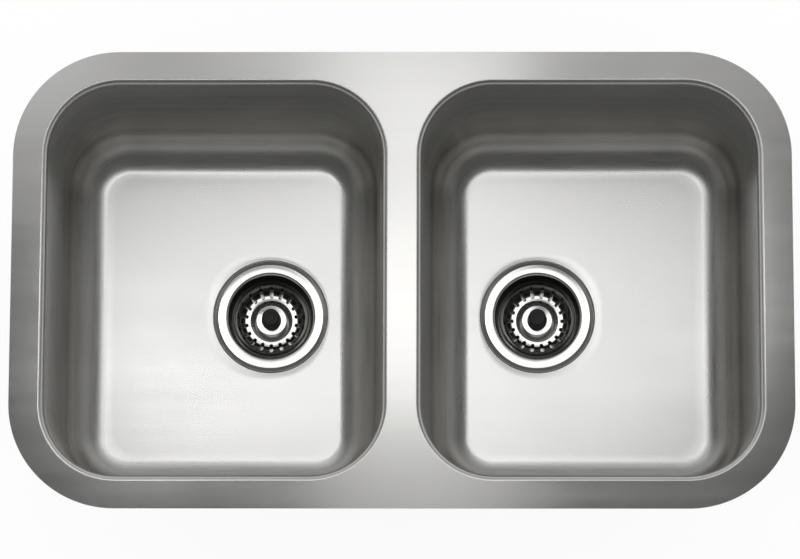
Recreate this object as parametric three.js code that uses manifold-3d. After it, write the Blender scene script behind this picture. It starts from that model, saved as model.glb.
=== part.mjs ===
// Undermount double bowl kitchen sink with two basket strainer wastes.
//
// The sink is stainless sheet: a flat rim with two openings whose edges roll over into short necks,
// and two deep drawn bowls butt welded to those necks. Each bowl has a recessed waste hole, set
// towards the divider, which takes a 3 1/2 inch strainer waste. A waste is clamped through the hole
// by one central screw: strainer cup and seal above, gasket and moulded body below. A basket with a
// knob and a rubber plug stands in the cup and lifts straight out.
//
// Millimetres, +Z up. The origin is on the rim's top face, in the middle of the divider.
// X runs along the two bowls, and the front of the sink is at -Y.
import * as THREE from "three";
import { mergeVertices } from "three/addons/utils/BufferGeometryUtils.js";
import Module from "manifold-3d";

// ---------------------------------------------------------------- sink sheet
const SHEET = 1; // thickness of the rim and of both bowls
const BOWL_OPENING_X = 340;
const BOWL_OPENING_Y = 400;
const BOWL_DEPTH = 200; // rim's top to the floor beside the waste
const BOWL_CORNER_R = 76; // plan radius of the opening's corners
const LIP_R = 5.5; // rolled edge between rim and wall
const WALL_DRAFT_DEG = 3;
const FLOOR_FILLET_R = 38; // between wall and floor
const FLOOR_FALL = 2; // the floor falls this much from its farthest corner to the waste
const RIM_SIDE = 28.5; // flat rim left and right of the bowls
const RIM_FRONT = 27.5; // flat rim in front of and behind the bowls
const DIVIDER = 28; // flat strip between the two bowls
const NECK_DEPTH = 8; // rim's top to the weld between neck and bowl
const WASTE_OFFSET_X = 48; // waste from the bowl's centre, towards the divider

// ---------------------------------------------------------------- sound pad under each bowl
const PAD_THICKNESS = 2;
const PAD_GLUE = 0.3; // glue line between floor and pad
const PAD_OUTER_SHARE = 0.1; // of the way from the floor's edge to the waste recess
const PAD_INNER_SHARE = 0.8;

// ---------------------------------------------------------------- strainer cup
const CUP_SHEET = 1;
const FLANGE_W = 12.8; // flange, from the cup's mouth to its edge
const FLANGE_EDGE_W = 3.3; // the flange's outer part, which curves down to the floor
const FLANGE_EDGE_DROP = 1.1;
const FLANGE_PROUD = 0.25; // flange's flat above the bowl floor
const MOUTH_R = 44; // top of the cup
const MOUTH_ROUND = 2; // rounding from flange to cup
const CUP_WALL_R = 36.4;
const LEDGE_W = 1.8; // the basket's rim stands on this steep ledge
const LEDGE_H = 3;
const LEDGE_DEPTH = 9.4; // ledge's top below the bowl floor, as all depths of the waste
const CUP_DEPTH = 36;
const CUP_FILLET = 3;
const DRAIN_HOLES = 6;
const DRAIN_HOLE_R = 5;
const DRAIN_CIRCLE_R = 20;
const DIMPLE_GAP = 3; // pocket round the clamping screw's head
const DIMPLE_SINK = 1; // screw's head below the cup's floor

// ---------------------------------------------------------------- waste recess and seals
const RECESS_GAP = 0.6; // from the flange's edge to the recess's foot
const RECESS_STEP = 0.8; // width of the recess's slope
const RECESS_DEPTH = 2;
const WASTE_HOLE_GAP = 0.5; // waste hole round the cup's mouth
const SEAL_INSET = 1; // upper seal's edge inside the flange's flat
const GASKET_THICKNESS = 3;
const GASKET_BORE_GAP = 2; // gaskets' bore beyond the waste hole
const STACK_GAP = 0.1; // between two flat faces that are clamped together

// ---------------------------------------------------------------- screws and insert nut
const THREAD_R = 2.9;
const THREAD_GAP = 0.4; // bore of every hole that a screw goes through
const SCREW_HEAD_R = 5.4;
const SCREW_HEAD_H = 3;
const SCREW_TIP = 1; // clamping screw's tip below the hub
const INSERT_FLATS = 10; // brass nut, across flats
const INSERT_H = 5;
const INSERT_GAP = 0.3;
const INSERT_SINK = 1; // nut's lower face above the hub's

// ---------------------------------------------------------------- waste body
const BODY_FLANGE_H = 4;
const BELL_WALL = 3;
const BELL_GAP = 2.3; // bell round the cup's ledge
const BELL_SPACE = 6; // cup's floor to where the bell starts to narrow
const BELL_TAPER_H = 16;
const OUTLET_R = 23.8; // 1 1/2 inch pipe thread, over its crests
const OUTLET_WALL = 3.8;
const OUTLET_LENGTH = 28;
const HUB_R = 9;
const HUB_LENGTH = 23;
const SPOKES = 4;
const SPOKE_WIDTH = 3;
const SPOKE_H = 9;

// ---------------------------------------------------------------- outlet nut and washer
const NUT_WALL = 4.5;
const NUT_THREAD_GAP = 0.4;
const NUT_LENGTH = 18;
const NUT_FLOOR = 2.5; // inward flange that presses the washer
const NUT_GRIPS = 8;
const NUT_GRIP_W = 5;
const NUT_GRIP_H = 1.6;
const WASHER_H = 3.5;
const PIPE_GAP = 0.3; // washer's bore beyond the outlet's, and the nut's beyond the washer's

// ---------------------------------------------------------------- basket
const BASKET_SHEET = 0.8;
const RIM_SEAT_GAP = 0.5; // basket's rim off the ledge
const BASKET_WALL_GAP = 0.8; // basket's wall inside the cup's
const BASKET_CURVE_H = 11; // the wall turns in over this height
const BASKET_FLOOR_R = 27;
const BOSS_FOOT_R = 21.5;
const BOSS_TOP_R = 15.3;
const BOSS_H = 4;
const SLOTS = 18;
const SLOT_W = 3.9;
const SLOT_INNER_R = 23.8;
const SLOT_WALL_INSET = 0.8; // slots' outer end inside the basket's wall

// ---------------------------------------------------------------- knob and plug of the basket
const KNOB_FOOT_R = 10.1;
const KNOB_TOP_R = 8.9;
const KNOB_H = 18.4;
const KNOB_ROUND = 1.6;
const CARRIER_INSET = 5; // carrier's edge inside the plug's
const CARRIER_GAP = 0.3; // under the basket
const CARRIER_H = 5;
const PLUG_LAP = 4; // plug's edge beyond the drain holes
const PLUG_H = 4.4;
const PLUG_CHAMFER = 1.2;
const PLUG_SEAT_GAP = 0.3; // plug above the cup's floor

// ---------------------------------------------------------------- facets
const CORNER_STEPS = 6; // in each corner of a bowl ring
const LIP_STEPS = 3;
const FILLET_STEPS = 4;
const BASKET_STEPS = SLOTS; // each slot is in the middle of a facet
const CUP_STEPS = 24;
const ROUND = 18; // segments of the other round pieces
const SMALL_ROUND = 10; // segments of screws and holes
const CUT_OVER = 1; // a cutting shape runs this far past what it cuts

// ================================================================ helpers
const wasm = await Module();
wasm.setup();

const rad = THREE.MathUtils.degToRad;

function toSolid(geometry) {
  const bare = geometry.index ? geometry.toNonIndexed() : geometry.clone();
  for (const name of Object.keys(bare.attributes)) {
    if (name !== "position") bare.deleteAttribute(name);
  }
  const merged = mergeVertices(bare, 1e-4);
  const corners = merged.index.array;
  const kept = [];
  for (let i = 0; i < corners.length; i += 3) {
    const [a, b, c] = [corners[i], corners[i + 1], corners[i + 2]];
    if (a !== b && b !== c && c !== a) kept.push(a, b, c);
  }
  return new wasm.Manifold(
    new wasm.Mesh({
      numProp: 3,
      vertProperties: merged.attributes.position.array,
      triVerts: new Uint32Array(kept),
    }),
  );
}

function toGeometry(solid) {
  const mesh = solid.getMesh();
  const geometry = new THREE.BufferGeometry();
  geometry.setAttribute("position", new THREE.BufferAttribute(mesh.vertProperties, 3));
  geometry.setIndex(new THREE.BufferAttribute(mesh.triVerts, 1));
  const faceted = geometry.toNonIndexed();
  faceted.computeVertexNormals();
  return faceted;
}

// A closed outline of [radius, z] points turned about Z. The outline runs anticlockwise, which is
// out along the bottom, up the outside and back along the top.
function revolve(outline, segments) {
  const closed = [...outline, outline[0]].map(([r, z]) => new THREE.Vector2(r, z));
  return new THREE.LatheGeometry(closed, segments).rotateX(Math.PI / 2);
}

// The outline of a pressed sheet from its upper or inner surface, whose points run inwards and down.
function sheetOutline(surface, thickness) {
  const points = surface.map(([r, z]) => new THREE.Vector2(r, z));
  const directions = points.slice(1).map((p, i) => p.clone().sub(points[i]).normalize());
  const under = points.map((p, i) => {
    const before = directions[Math.max(i - 1, 0)];
    const after = directions[Math.min(i, directions.length - 1)];
    const mean = before.clone().add(after).normalize();
    const stretch = thickness / mean.dot(after);
    return [p.x - mean.y * stretch, p.y + mean.x * stretch];
  });
  return [...surface, ...under.reverse()];
}

// A flat ring between two radii, standing on z = bottom.
function flatRing(bore, outer, bottom, height, segments) {
  const top = bottom + height;
  return revolve([[bore, bottom], [outer, bottom], [outer, top], [bore, top]], segments);
}

// One closed skin through rings of equally many points, where the last ring joins the first.
function loftLoop(rings) {
  const count = rings[0].length;
  const index = [];
  rings.forEach((_, r) => {
    const next = (r + 1) % rings.length;
    for (let i = 0; i < count; i += 1) {
      const j = (i + 1) % count;
      const [a, b] = [r * count + i, r * count + j];
      const [c, d] = [next * count + j, next * count + i];
      index.push(a, b, c, a, c, d);
    }
  });
  const geometry = new THREE.BufferGeometry().setFromPoints(rings.flat());
  geometry.setIndex(index);
  const faceted = geometry.toNonIndexed();
  faceted.computeVertexNormals();
  return faceted;
}

function lerpRing(from, to, share) {
  return from.map((p, i) => p.clone().lerp(to[i], share));
}

function shiftRing(ring, dz) {
  return ring.map((p) => new THREE.Vector3(p.x, p.y, p.z + dz));
}

// ================================================================ bowl section
// The section is in (inset, z): inset is measured inwards from the opening's edge, and depth is how
// far a surface lies under the sheet's inner face, 0 for the inside and SHEET for the outside.
const draft = rad(WALL_DRAFT_DEG);
const lipEnd = Math.PI / 2 - draft;
const floorEdgeZ = FLOOR_FALL - BOWL_DEPTH;
const filletZ = floorEdgeZ + FLOOR_FILLET_R;

function lipPoint(angle, depth) {
  const radius = LIP_R - depth;
  return [radius * Math.sin(angle), radius * Math.cos(angle) - LIP_R];
}

// The wall's point at a height.
function wallPoint(z, depth) {
  const [startInset, startZ] = lipPoint(lipEnd, depth);
  return [startInset + (startZ - z) * Math.tan(draft), z];
}

const [lipInset, lipZ] = lipPoint(lipEnd, 0);
const filletInset =
  lipInset + (FLOOR_FILLET_R - (filletZ - lipZ) * Math.sin(draft)) / Math.cos(draft);

function filletPoint(angle, depth) {
  const radius = FLOOR_FILLET_R + depth;
  return [filletInset - radius * Math.cos(angle), filletZ - radius * Math.sin(angle)];
}

function steps(count, from, to) {
  return Array.from({ length: count + 1 }, (_, i) => from + ((to - from) * i) / count);
}

// ================================================================ bowl rings
// A rounded rectangle round (centreX, 0) at a height, inset from the opening. Its points start in
// the middle of the +X side and run anticlockwise.
function openingRing(centreX, [inset, z]) {
  const halfX = BOWL_OPENING_X / 2 - inset;
  const halfY = BOWL_OPENING_Y / 2 - inset;
  const radius = BOWL_CORNER_R - inset;
  const points = [];
  for (let quarter = 0; quarter < 4; quarter += 1) {
    const turned = quarter % 2 === 1;
    const [alongHalf, acrossHalf] = turned ? [halfX, halfY] : [halfY, halfX];
    const straight = alongHalf - radius;
    const outline = [[acrossHalf, 0]];
    for (const angle of steps(CORNER_STEPS, 0, Math.PI / 2)) {
      outline.push([
        acrossHalf - radius + radius * Math.cos(angle),
        straight + radius * Math.sin(angle),
      ]);
    }
    for (const [x, y] of outline) {
      const point = new THREE.Vector3(x, y, z);
      point.applyAxisAngle(new THREE.Vector3(0, 0, 1), (quarter * Math.PI) / 2);
      points.push(point.add(new THREE.Vector3(centreX, 0, 0)));
    }
  }
  return points;
}

// A round ring whose points pair up with those of an opening's ring.
function wasteRing(wasteX, radius, z) {
  const count = 4 * (CORNER_STEPS + 2);
  return Array.from({ length: count }, (_, i) => {
    const angle = (2 * Math.PI * i) / count;
    return new THREE.Vector3(wasteX + radius * Math.cos(angle), radius * Math.sin(angle), z);
  });
}

const flangeR = MOUTH_R + FLANGE_W;
const wasteHoleR = MOUTH_R + CUP_SHEET + WASTE_HOLE_GAP;
const recessFootR = flangeR + RECESS_GAP;
const recessTopR = recessFootR + RECESS_STEP;
const floorZ = -BOWL_DEPTH;

const farCornerX = BOWL_OPENING_X / 2 - filletInset + WASTE_OFFSET_X;
const farCornerY = BOWL_OPENING_Y / 2 - filletInset;
const fallLength = Math.hypot(farCornerX, farCornerY) - recessTopR;

// Lowers a ring so that the floor falls evenly to the waste. The share is 0 at the top of the
// fillet and 1 on the floor.
function fallToWaste(ring, wasteX, share) {
  return ring.map((p) => {
    const away = Math.hypot(p.x - wasteX, p.y) - recessTopR;
    const drop = FLOOR_FALL * (1 - away / fallLength);
    return new THREE.Vector3(p.x, p.y, p.z - share * drop);
  });
}

// Rings of the floor's top and underside, from the fillet in to the waste hole.
function floorRings(centreX, wasteX, depth) {
  return [
    fallToWaste(openingRing(centreX, filletPoint(Math.PI / 2, depth)), wasteX, 1),
    wasteRing(wasteX, recessTopR + depth / 2, floorZ - depth),
    wasteRing(wasteX, recessFootR + depth / 2, floorZ - RECESS_DEPTH - depth),
    wasteRing(wasteX, wasteHoleR, floorZ - RECESS_DEPTH - depth),
  ];
}

function sideRings(centreX, wasteX, depth) {
  const weld = openingRing(centreX, wallPoint(-NECK_DEPTH, depth));
  const fillet = steps(FILLET_STEPS, draft, Math.PI / 2).slice(0, -1);
  const rings = fillet.map((angle) => {
    const share = (angle - draft) / (Math.PI / 2 - draft);
    return fallToWaste(openingRing(centreX, filletPoint(angle, depth)), wasteX, share);
  });
  return [weld, ...rings];
}

function bowlGeometry(centreX, wasteX) {
  const skin = (depth) => [
    ...sideRings(centreX, wasteX, depth),
    ...floorRings(centreX, wasteX, depth),
  ];
  return loftLoop([...skin(0), ...skin(SHEET).reverse()]);
}

// The pad follows the floor's slope, a glue line below it.
function padGeometry(centreX, wasteX) {
  const [edge, recess] = floorRings(centreX, wasteX, SHEET);
  const outer = shiftRing(lerpRing(edge, recess, PAD_OUTER_SHARE), -PAD_GLUE);
  const inner = shiftRing(lerpRing(edge, recess, PAD_INNER_SHARE), -PAD_GLUE);
  return loftLoop([
    outer,
    inner,
    shiftRing(inner, -PAD_THICKNESS),
    shiftRing(outer, -PAD_THICKNESS),
  ]);
}

// ================================================================ rim
const bowlCentreX = (DIVIDER + BOWL_OPENING_X) / 2;
const rimHalfX = DIVIDER / 2 + BOWL_OPENING_X + RIM_SIDE;
const rimHalfY = BOWL_OPENING_Y / 2 + RIM_FRONT;
const rimCornerR = BOWL_CORNER_R + (RIM_SIDE + RIM_FRONT) / 2;
const LIP_OVERLAP = 2; // the lip's ring reaches this far into the flat plate before they are joined

function roundedPlate(halfX, halfY, radius) {
  const shape = new THREE.Shape();
  shape.absarc(halfX - radius, halfY - radius, radius, 0, Math.PI / 2);
  shape.absarc(radius - halfX, halfY - radius, radius, Math.PI / 2, Math.PI);
  shape.absarc(radius - halfX, radius - halfY, radius, Math.PI, 1.5 * Math.PI);
  shape.absarc(halfX - radius, radius - halfY, radius, 1.5 * Math.PI, 2 * Math.PI);
  return shape;
}

function rimGeometry() {
  const shape = roundedPlate(rimHalfX, rimHalfY, rimCornerR);
  for (const side of [-1, 1]) {
    const edge = openingRing(side * bowlCentreX, [0, 0]);
    shape.holes.push(new THREE.Path(edge.map((p) => new THREE.Vector2(p.x, p.y))));
  }
  const plate = new THREE.ExtrudeGeometry(shape, {
    depth: SHEET,
    bevelEnabled: false,
    curveSegments: CORNER_STEPS + 2,
  });
  let rim = toSolid(plate.translate(0, 0, -SHEET));
  for (const side of [-1, 1]) {
    const section = (depth) => [
      [-LIP_OVERLAP, -depth],
      ...steps(LIP_STEPS, 0, lipEnd).map((angle) => lipPoint(angle, depth)),
      wallPoint(-NECK_DEPTH, depth),
    ];
    const loop = [...section(0), ...section(SHEET).reverse()];
    rim = rim.add(toSolid(loftLoop(loop.map((p) => openingRing(side * bowlCentreX, p)))));
  }
  return toGeometry(rim);
}

// ================================================================ strainer cup and seals
// From here on z = 0 is the bowl floor beside the waste, and depths are below it.
const boreR = THREAD_R + THREAD_GAP;
const headBoreR = SCREW_HEAD_R + THREAD_GAP;
const flangeFlatR = flangeR - FLANGE_EDGE_W;
const flangeUnder = FLANGE_PROUD - CUP_SHEET;
const ledgeR = CUP_WALL_R + LEDGE_W;
const dimpleR = SCREW_HEAD_R + DIMPLE_GAP;
const dimpleZ = -CUP_DEPTH - SCREW_HEAD_H - DIMPLE_SINK;

function cupGeometry() {
  const surface = [
    [flangeR, FLANGE_PROUD - FLANGE_EDGE_DROP],
    [flangeFlatR, FLANGE_PROUD],
    [MOUTH_R + MOUTH_ROUND, FLANGE_PROUD],
    [MOUTH_R + MOUTH_ROUND * 0.3, FLANGE_PROUD - MOUTH_ROUND * 0.3],
    [MOUTH_R, FLANGE_PROUD - MOUTH_ROUND],
    [ledgeR, -LEDGE_DEPTH],
    [CUP_WALL_R, -LEDGE_DEPTH - LEDGE_H],
    [CUP_WALL_R, CUP_FILLET - CUP_DEPTH],
    [CUP_WALL_R - CUP_FILLET, -CUP_DEPTH],
    [dimpleR + 1, -CUP_DEPTH],
    [dimpleR, dimpleZ],
    [boreR, dimpleZ],
  ];
  let cup = toSolid(revolve(sheetOutline(surface, CUP_SHEET), CUP_STEPS));
  for (let i = 0; i < DRAIN_HOLES; i += 1) {
    const angle = (2 * Math.PI * i) / DRAIN_HOLES;
    const drill = new THREE.CylinderGeometry(DRAIN_HOLE_R, DRAIN_HOLE_R, 4 * CUP_SHEET, SMALL_ROUND);
    drill.rotateX(Math.PI / 2);
    drill.translate(
      DRAIN_CIRCLE_R * Math.cos(angle),
      DRAIN_CIRCLE_R * Math.sin(angle),
      -CUP_DEPTH,
    );
    cup = cup.subtract(toSolid(drill));
  }
  return toGeometry(cup);
}

function flangeSealGeometry() {
  const bore = wasteHoleR + GASKET_BORE_GAP;
  const bottom = STACK_GAP - RECESS_DEPTH;
  const height = flangeUnder - STACK_GAP - bottom;
  return flatRing(bore, flangeFlatR - SEAL_INSET, bottom, height, ROUND);
}

const gasketTop = -RECESS_DEPTH - SHEET - STACK_GAP;
const gasketBottom = gasketTop - GASKET_THICKNESS;

function gasketGeometry() {
  const bore = wasteHoleR + GASKET_BORE_GAP;
  return flatRing(bore, flangeR, gasketBottom, GASKET_THICKNESS, ROUND);
}

// ================================================================ waste body, screw and insert nut
const bodyTop = gasketBottom - STACK_GAP;
const hubTop = dimpleZ - CUP_SHEET - STACK_GAP;
const hubBottom = hubTop - HUB_LENGTH;
const insertBottom = hubBottom + INSERT_SINK;
const bellFootZ = -CUP_DEPTH - BELL_SPACE;
const outletTopZ = bellFootZ - BELL_TAPER_H;
const outletEndZ = outletTopZ - OUTLET_LENGTH;
const outletBoreR = OUTLET_R - OUTLET_WALL;

function hexPrism(acrossFlats, bottom, top) {
  const cornerR = acrossFlats / Math.sqrt(3);
  return new THREE.CylinderGeometry(cornerR, cornerR, top - bottom, 6)
    .rotateX(Math.PI / 2)
    .translate(0, 0, (bottom + top) / 2);
}

function roundRod(radius, bottom, top) {
  return new THREE.CylinderGeometry(radius, radius, top - bottom, SMALL_ROUND)
    .rotateX(Math.PI / 2)
    .translate(0, 0, (bottom + top) / 2);
}

function wasteBodyGeometry() {
  const bellBoreR = ledgeR + CUP_SHEET + BELL_GAP;
  const bellR = bellBoreR + BELL_WALL;
  const shell = revolve(
    [
      [outletBoreR, outletEndZ],
      [OUTLET_R, outletEndZ],
      [OUTLET_R, outletTopZ],
      [bellR, bellFootZ],
      [bellR, bodyTop - BODY_FLANGE_H],
      [flangeR, bodyTop - BODY_FLANGE_H],
      [flangeR, bodyTop],
      [wasteHoleR, bodyTop],
      [bellBoreR, bodyTop - 2 * BODY_FLANGE_H],
      [bellBoreR, bellFootZ + BELL_WALL / 2],
      [outletBoreR, outletTopZ + BELL_WALL / 2],
    ],
    ROUND,
  );
  const spokeReach = outletBoreR + OUTLET_WALL / 2;
  let body = toSolid(shell).add(toSolid(roundRod(HUB_R, hubBottom, hubTop)));
  for (let i = 0; i < SPOKES; i += 1) {
    const spoke = new THREE.BoxGeometry(spokeReach, SPOKE_WIDTH, SPOKE_H)
      .translate(spokeReach / 2, 0, hubBottom + SPOKE_H / 2)
      .rotateZ((2 * Math.PI * i) / SPOKES);
    body = body.add(toSolid(spoke));
  }
  const pocketTop = insertBottom + INSERT_H + STACK_GAP;
  const pocket = hexPrism(INSERT_FLATS + 2 * INSERT_GAP, hubBottom - CUT_OVER, pocketTop);
  const bore = roundRod(boreR, hubBottom - CUT_OVER, hubTop + CUT_OVER);
  return toGeometry(body.subtract(toSolid(bore)).subtract(toSolid(pocket)));
}

function insertNutGeometry() {
  const top = insertBottom + INSERT_H;
  const bore = roundRod(boreR, insertBottom - CUT_OVER, top + CUT_OVER);
  return toGeometry(toSolid(hexPrism(INSERT_FLATS, insertBottom, top)).subtract(toSolid(bore)));
}

// A screw with a cylindrical head. The head's bearing face is at z = bearing, and the head and the
// shank lie on opposite sides of it.
function screwGeometry(bearing, tip) {
  const headEnd = bearing - Math.sign(tip - bearing) * SCREW_HEAD_H;
  const [headBottom, headTop] = [Math.min(headEnd, bearing), Math.max(headEnd, bearing)];
  const overlap = Math.sign(headEnd - bearing);
  const shank = [Math.min(tip, bearing + overlap), Math.max(tip, bearing + overlap)];
  const head = toSolid(roundRod(SCREW_HEAD_R, headBottom, headTop));
  return toGeometry(head.add(toSolid(roundRod(THREAD_R, ...shank))));
}

// ================================================================ outlet nut and washer
const washerTop = outletEndZ - STACK_GAP;
const washerBottom = washerTop - WASHER_H;
const nutFloorTop = washerBottom - STACK_GAP;
const nutBottom = nutFloorTop - NUT_FLOOR;
const washerBoreR = outletBoreR + PIPE_GAP;
const nutBoreR = washerBoreR + PIPE_GAP;

function outletNutGeometry() {
  const bore = OUTLET_R + NUT_THREAD_GAP;
  const outer = bore + NUT_WALL;
  const shell = revolve(
    [
      [nutBoreR, nutBottom],
      [outer, nutBottom],
      [outer, nutBottom + NUT_LENGTH],
      [bore, nutBottom + NUT_LENGTH],
      [bore, nutFloorTop],
      [nutBoreR, nutFloorTop],
    ],
    ROUND,
  );
  let nut = toSolid(shell);
  for (let i = 0; i < NUT_GRIPS; i += 1) {
    const grip = new THREE.BoxGeometry(NUT_WALL, NUT_GRIP_W, NUT_LENGTH)
      .translate(outer - NUT_WALL / 2 + NUT_GRIP_H, 0, nutBottom + NUT_LENGTH / 2)
      .rotateZ((2 * Math.PI * i) / NUT_GRIPS);
    nut = nut.add(toSolid(grip));
  }
  return toGeometry(nut);
}

function washerGeometry() {
  const shoulder = washerBottom + WASHER_H * 0.45;
  return revolve(
    [
      [washerBoreR, washerBottom],
      [OUTLET_R, washerBottom],
      [OUTLET_R, shoulder],
      [OUTLET_R - WASHER_H / 2, washerTop],
      [washerBoreR, washerTop],
    ],
    ROUND,
  );
}

// ================================================================ basket
// The basket's rim slopes as the cup's ledge does, which it stands on.
const rimShift = (BASKET_SHEET + RIM_SEAT_GAP) / Math.hypot(LEDGE_W, LEDGE_H);
const basketRimR = ledgeR - rimShift * LEDGE_H;
const basketRimTop = rimShift * LEDGE_W - LEDGE_DEPTH;
const basketWallR = CUP_WALL_R - BASKET_WALL_GAP - BASKET_SHEET;
const plugTop = PLUG_SEAT_GAP - CUP_DEPTH + PLUG_H;
const carrierBottom = plugTop + STACK_GAP;
const carrierTop = carrierBottom + CARRIER_H;
const basketFloorZ = carrierTop + CARRIER_GAP + BASKET_SHEET;
const bossTop = basketFloorZ + BOSS_H;

function slotCutter() {
  const shape = new THREE.Shape();
  const half = SLOT_W / 2;
  const outerEnd = basketWallR - SLOT_WALL_INSET - half;
  shape.absarc(SLOT_INNER_R + half, 0, half, Math.PI / 2, 1.5 * Math.PI);
  shape.absarc(outerEnd, 0, half, -Math.PI / 2, Math.PI / 2);
  return new THREE.ExtrudeGeometry(shape, {
    depth: BASKET_CURVE_H + 2 * CUT_OVER,
    bevelEnabled: false,
    curveSegments: 2,
  }).translate(0, 0, basketFloorZ - BASKET_SHEET - CUT_OVER);
}

function basketGeometry() {
  const reach = basketWallR - BASKET_FLOOR_R;
  const surface = [
    [basketRimR, basketRimTop],
    [basketWallR, basketRimTop - (basketRimR - basketWallR) * (LEDGE_H / LEDGE_W)],
    [basketWallR, basketFloorZ + BASKET_CURVE_H],
    [BASKET_FLOOR_R + reach * 0.6, basketFloorZ + BASKET_CURVE_H * 0.3],
    [BASKET_FLOOR_R, basketFloorZ],
    [BOSS_FOOT_R, basketFloorZ],
    [BOSS_TOP_R, bossTop],
    [boreR, bossTop],
  ];
  let basket = toSolid(revolve(sheetOutline(surface, BASKET_SHEET), BASKET_STEPS));
  for (let i = 0; i < SLOTS; i += 1) {
    const cutter = slotCutter().rotateZ((2 * Math.PI * (i + 0.5)) / SLOTS);
    basket = basket.subtract(toSolid(cutter));
  }
  return toGeometry(basket);
}

const knobScrewTip = bossTop + KNOB_H / 2;

function knobGeometry() {
  const bottom = bossTop + STACK_GAP;
  const top = bottom + KNOB_H;
  return revolve(
    [
      [boreR, bottom],
      [KNOB_FOOT_R, bottom],
      [KNOB_TOP_R, top - KNOB_ROUND],
      [KNOB_TOP_R - KNOB_ROUND * 0.4, top - KNOB_ROUND * 0.3],
      [KNOB_TOP_R - KNOB_ROUND, top],
      [0, top],
      [0, knobScrewTip + SCREW_TIP],
      [boreR, knobScrewTip + SCREW_TIP],
    ],
    ROUND,
  );
}

const plugR = DRAIN_CIRCLE_R + DRAIN_HOLE_R + PLUG_LAP;

// The carrier fills the hollow under the basket's boss and spreads the plug.
function carrierGeometry() {
  const carrierR = plugR - CARRIER_INSET;
  const spigotTop = bossTop - BASKET_SHEET - CARRIER_GAP;
  return revolve(
    [
      [boreR, carrierBottom],
      [carrierR, carrierBottom],
      [carrierR, carrierTop],
      [BOSS_FOOT_R - 2 * BASKET_SHEET, carrierTop],
      [BOSS_TOP_R - 2 * BASKET_SHEET, spigotTop],
      [boreR, spigotTop],
    ],
    ROUND,
  );
}

function plugGeometry() {
  const bottom = plugTop - PLUG_H;
  return revolve(
    [
      [headBoreR, bottom],
      [plugR - PLUG_CHAMFER, bottom],
      [plugR, bottom + PLUG_CHAMFER],
      [plugR, plugTop - PLUG_CHAMFER],
      [plugR - PLUG_CHAMFER, plugTop],
      [headBoreR, plugTop],
    ],
    ROUND,
  );
}

// ================================================================ materials
const steel = (color, roughness) =>
  new THREE.MeshStandardMaterial({ color, roughness, metalness: 1 });
const matt = (color, roughness) =>
  new THREE.MeshStandardMaterial({ color, roughness, metalness: 0 });
const rimSteel = steel(0xb9b8b5, 0.25);
const bowlSteel = steel(0xc4c3c0, 0.4);
const polishedSteel = steel(0xd6d5d2, 0.12);
const zincSteel = steel(0xa9abad, 0.35);
const brass = steel(0xc8a45a, 0.3);
const blackPlastic = matt(0x232426, 0.35);
const greyRubber = matt(0x3a3b3c, 0.8);
const blackRubber = matt(0x1c1c1d, 0.7);
const whitePlastic = matt(0xe4e4e0, 0.45);
const padBitumen = matt(0x2c2d2f, 0.9);

// ================================================================ assembly
function piece(name, geometry, material) {
  const mesh = new THREE.Mesh(geometry, material);
  mesh.name = name;
  return mesh;
}

// Everything that hangs from or stands in one waste hole. A basket stands in its cup at any turn.
function waste(side, x, basketTurn) {
  const fixed = new THREE.Group();
  fixed.add(
    piece(`${side}_strainer_cup`, cupGeometry(), polishedSteel),
    piece(`${side}_flange_seal`, flangeSealGeometry(), greyRubber),
    piece(`${side}_lower_gasket`, gasketGeometry(), blackRubber),
    piece(`${side}_waste_body`, wasteBodyGeometry(), whitePlastic),
    piece(`${side}_insert_nut`, insertNutGeometry(), brass),
    piece(
      `${side}_clamp_screw`,
      screwGeometry(dimpleZ + STACK_GAP, hubBottom - SCREW_TIP),
      zincSteel,
    ),
    piece(`${side}_outlet_nut`, outletNutGeometry(), whitePlastic),
    piece(`${side}_cone_washer`, washerGeometry(), blackRubber),
  );
  const basket = new THREE.Group();
  basket.rotation.z = basketTurn;
  basket.add(
    piece(`${side}_basket`, basketGeometry(), polishedSteel),
    piece(`${side}_basket_knob`, knobGeometry(), blackPlastic),
    piece(`${side}_plug_carrier`, carrierGeometry(), blackPlastic),
    piece(`${side}_plug_seal`, plugGeometry(), blackRubber),
    piece(`${side}_basket_screw`, screwGeometry(carrierBottom - STACK_GAP, knobScrewTip), zincSteel),
  );
  const group = new THREE.Group();
  group.position.set(x, 0, floorZ);
  group.add(fixed, basket);
  return group;
}

const sink = new THREE.Group();
sink.add(piece("rim_plate", rimGeometry(), rimSteel));
for (const [side, sign, basketTurn] of [["left", -1, 0], ["right", 1, Math.PI / SLOTS]]) {
  const centreX = sign * bowlCentreX;
  const wasteX = sign * (bowlCentreX - WASTE_OFFSET_X);
  sink.add(piece(`${side}_bowl`, bowlGeometry(centreX, wasteX), bowlSteel));
  sink.add(piece(`${side}_sound_pad`, padGeometry(centreX, wasteX), padBitumen));
  sink.add(waste(side, wasteX, basketTurn));
}

export default sink;
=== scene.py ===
"""Looks of a double bowl kitchen sink with two basket strainer wastes.

Sizes are in millimetres and are turned into metres when a mesh is made. The origin is on the rim's
top face, in the middle of the divider, with +X along the bowls, the front at -Y and +Z up. Depths
of a waste are measured from the bowl floor beside it.
"""

import math

import bmesh
import bpy
from mathutils import Matrix, Vector


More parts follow.
